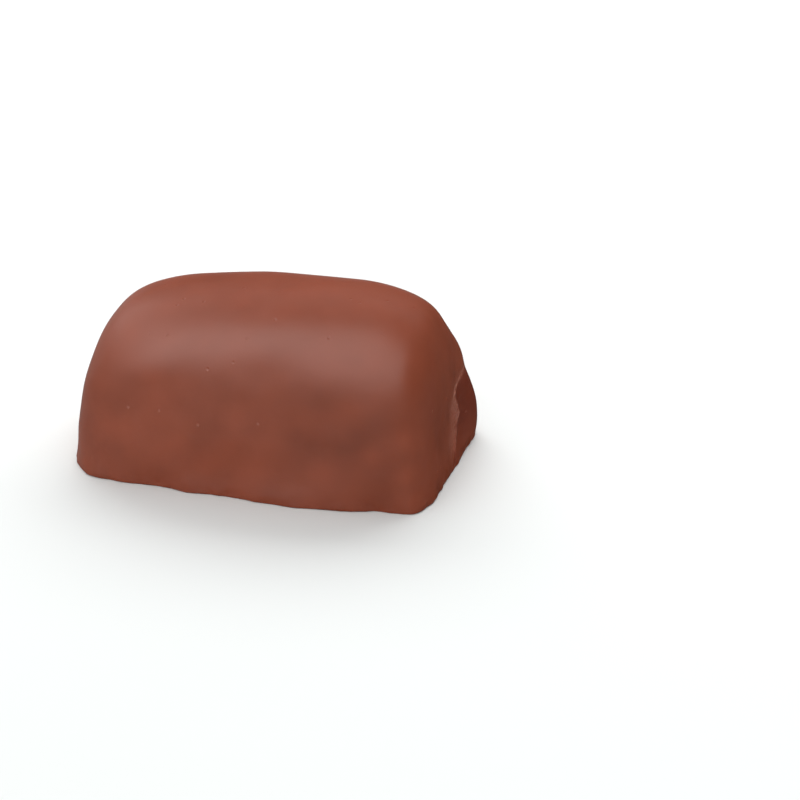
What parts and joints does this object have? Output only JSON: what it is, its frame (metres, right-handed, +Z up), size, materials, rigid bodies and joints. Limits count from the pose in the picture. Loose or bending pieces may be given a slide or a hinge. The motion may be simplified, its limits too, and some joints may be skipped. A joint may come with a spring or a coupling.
{
  "type": "chocolate bonbon",
  "caption": "Whole loaf-shaped chocolate bonbon with a rounded top, soft uneven walls, a lumpy foot and a flat base that it stands on.",
  "frame": {"origin": "middle of the base, at the bottom centre of the bonbon's box", "axes": "+X along the loaf towards its taller end, +Y across it towards the back, +Z up from the base"},
  "size_m": [0.0386, 0.023, 0.019],
  "materials": {
    "milk_chocolate": "satin milk chocolate coating with soft waves and faint mottling"
  },
  "bodies": {
    "root": {"coated_bonbon": "milk_chocolate"}
  },
  "joints": []
}
